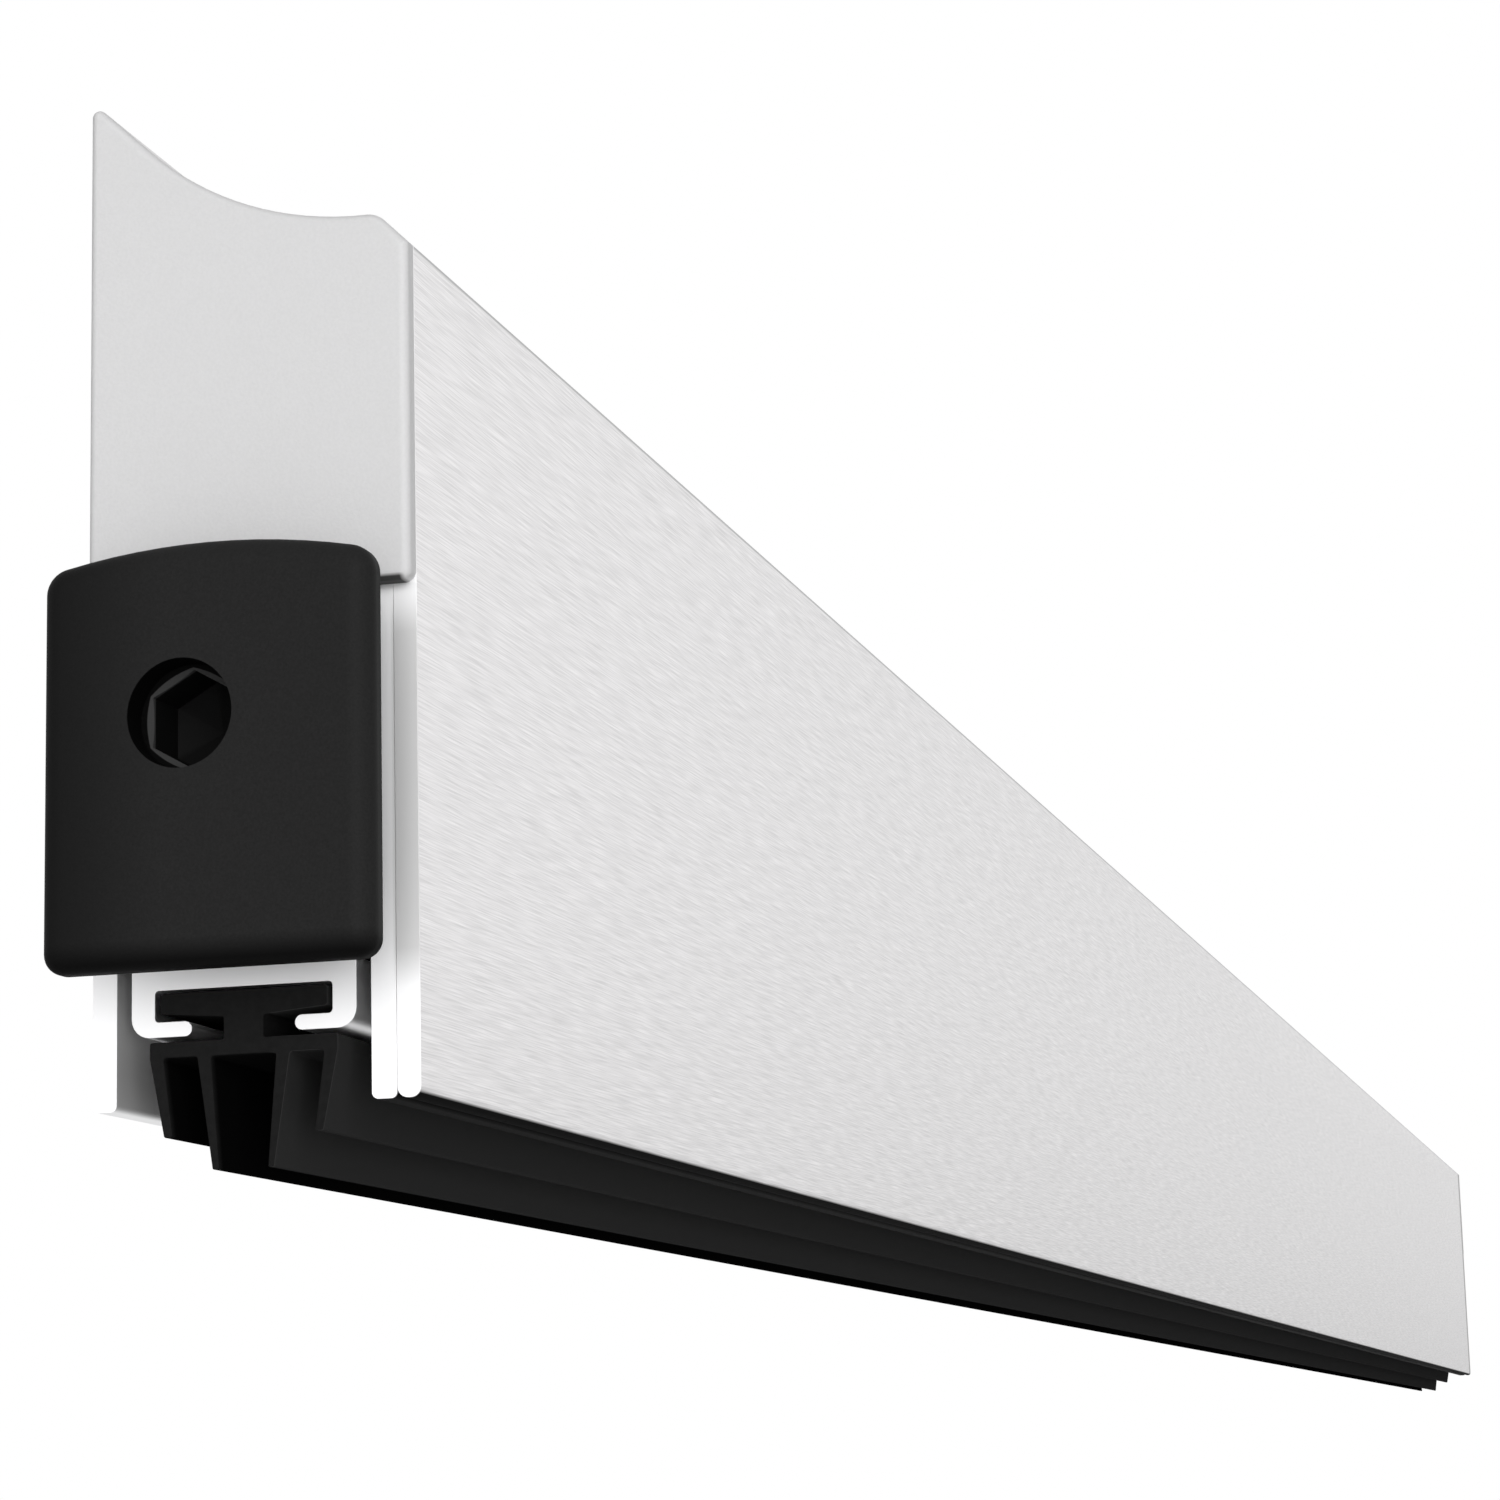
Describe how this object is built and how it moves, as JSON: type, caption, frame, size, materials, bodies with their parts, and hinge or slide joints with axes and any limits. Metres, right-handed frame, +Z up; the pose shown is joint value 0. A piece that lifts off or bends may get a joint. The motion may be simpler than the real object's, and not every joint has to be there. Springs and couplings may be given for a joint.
{
  "type": "automatic door bottom seal",
  "caption": "Surface-mounted automatic door bottom seal: a plunger at one end drives levers that lower a finned rubber strip from an aluminium housing under a clip-on cover.",
  "frame": {"origin": "on the door's face, at the middle of the row of fixing holes", "axes": "+X along the seal away from the plunger, +Y into the door, +Z up"},
  "size_m": [0.6373, 0.016, 0.0511],
  "materials": {
    "mill_aluminium": "satin anodised",
    "brushed_cover": "brushed along its length",
    "bar_aluminium": "satin anodised",
    "grey_cap": "matt moulded, light grey",
    "black_plunger": "satin moulded, black",
    "black_screw": "satin moulded glass-filled nylon, black",
    "natural_acetal": "natural white acetal",
    "zinc_steel": "bright zinc plated",
    "spring_steel": "drawn bright",
    "seal_rubber": "matt extruded, black"
  },
  "bodies": {
    "housing": {"housing": "mill_aluminium", "cover": "brushed_cover", "end_cap_near": "grey_cap", "end_cap_far": "grey_cap", "spring_guide_pin": "spring_steel", "guide_block_near": "natural_acetal", "guide_block_far": "natural_acetal", "block_screws": "zinc_steel", "lever_bracket_near": "zinc_steel", "lever_bracket_far": "zinc_steel", "bracket_rivets": "mill_aluminium", "pivot_pin_near": "spring_steel", "pivot_pin_far": "spring_steel"},
    "push_rod": {"push_rod": "zinc_steel", "rod_end": "zinc_steel", "rod_tail": "natural_acetal", "rod_rivets": "zinc_steel", "drive_pin_near": "spring_steel", "drive_pin_far": "spring_steel", "return_spring": "spring_steel"},
    "plunger": {"plunger": "black_plunger", "screw_retainer": "spring_steel"},
    "adjusting_screw": {"adjusting_screw": "black_screw"},
    "lever_near": {"lever_near": "natural_acetal"},
    "lever_far": {"lever_far": "natural_acetal"},
    "carrier": {"carrier_bar": "bar_aluminium", "rubber_seal": "seal_rubber", "hanger_near": "zinc_steel", "hanger_far": "zinc_steel", "hanger_pin_near": "spring_steel", "hanger_pin_far": "spring_steel", "hanger_rivets": "mill_aluminium", "guide_post_near": "spring_steel", "guide_post_far": "spring_steel"}
  },
  "joints": [
    {"name": "plunger_slide", "type": "slide", "parent": "housing", "child": "push_rod", "axis": [1, 0, 0], "range_m": [0, 0.0029], "stiffness_N_per_m": 3000, "springref_m": -0.005, "deforming": ["return_spring"]},
    {"name": "bar_drop", "type": "slide", "parent": "housing", "child": "carrier", "axis": [0, 0, -1], "range_m": [0, 0.008]},
    {"name": "lever_near_swing", "type": "hinge", "parent": "housing", "child": "lever_near", "pos_m": [-0.195, -0.0069, -0.02625], "axis": [0, 1, 0], "range_deg": [0, 22.17]},
    {"name": "lever_far_swing", "type": "hinge", "parent": "housing", "child": "lever_far", "pos_m": [0.185, -0.0069, -0.02625], "axis": [0, 1, 0], "range_deg": [0, 22.17]},
    {"name": "plunger_adjust", "type": "slide", "parent": "push_rod", "child": "plunger", "axis": [-1, 0, 0], "range_m": [0, 0.0024]},
    {"name": "screw_turn", "type": "hinge", "parent": "plunger", "child": "adjusting_screw", "pos_m": [-0.315, -0.0069, -0.01885], "axis": [-1, 0, 0], "range_deg": [0, 1080]}
  ],
  "couplings": [
    {"joint": "bar_drop", "follows": "plunger_slide", "ratio": 2.7586},
    {"joint": "lever_near_swing", "follows": "plunger_slide", "rad_per_m": 133.44},
    {"joint": "lever_far_swing", "follows": "plunger_slide", "rad_per_m": 133.44},
    {"joint": "screw_turn", "follows": "plunger_adjust", "rad_per_m": 7854}
  ]
}
